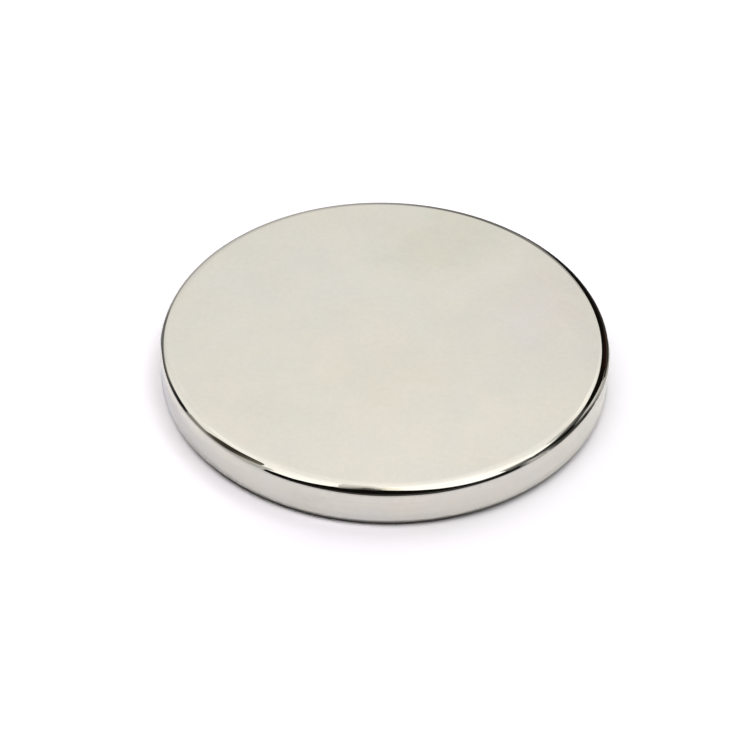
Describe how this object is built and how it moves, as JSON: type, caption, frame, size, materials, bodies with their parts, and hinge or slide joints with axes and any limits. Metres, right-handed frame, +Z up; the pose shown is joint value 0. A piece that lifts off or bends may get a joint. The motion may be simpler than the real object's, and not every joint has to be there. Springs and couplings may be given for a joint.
{
  "type": "disc magnet",
  "caption": "Flat round disc magnet with rounded rims, nickel plated all over, lying on one pole face.",
  "frame": {"origin": "centre of the lower pole face, on the surface that the magnet lies on", "axes": "+Z up along the disc's axis, from the lower pole face to the upper one; +X and +Y lie in the lower pole face"},
  "size_m": [0.018, 0.018, 0.002],
  "materials": {
    "nickel_plate": "bright nickel plating, polished, faintly mottled"
  },
  "bodies": {
    "root": {"disc_magnet": "nickel_plate"}
  },
  "joints": []
}
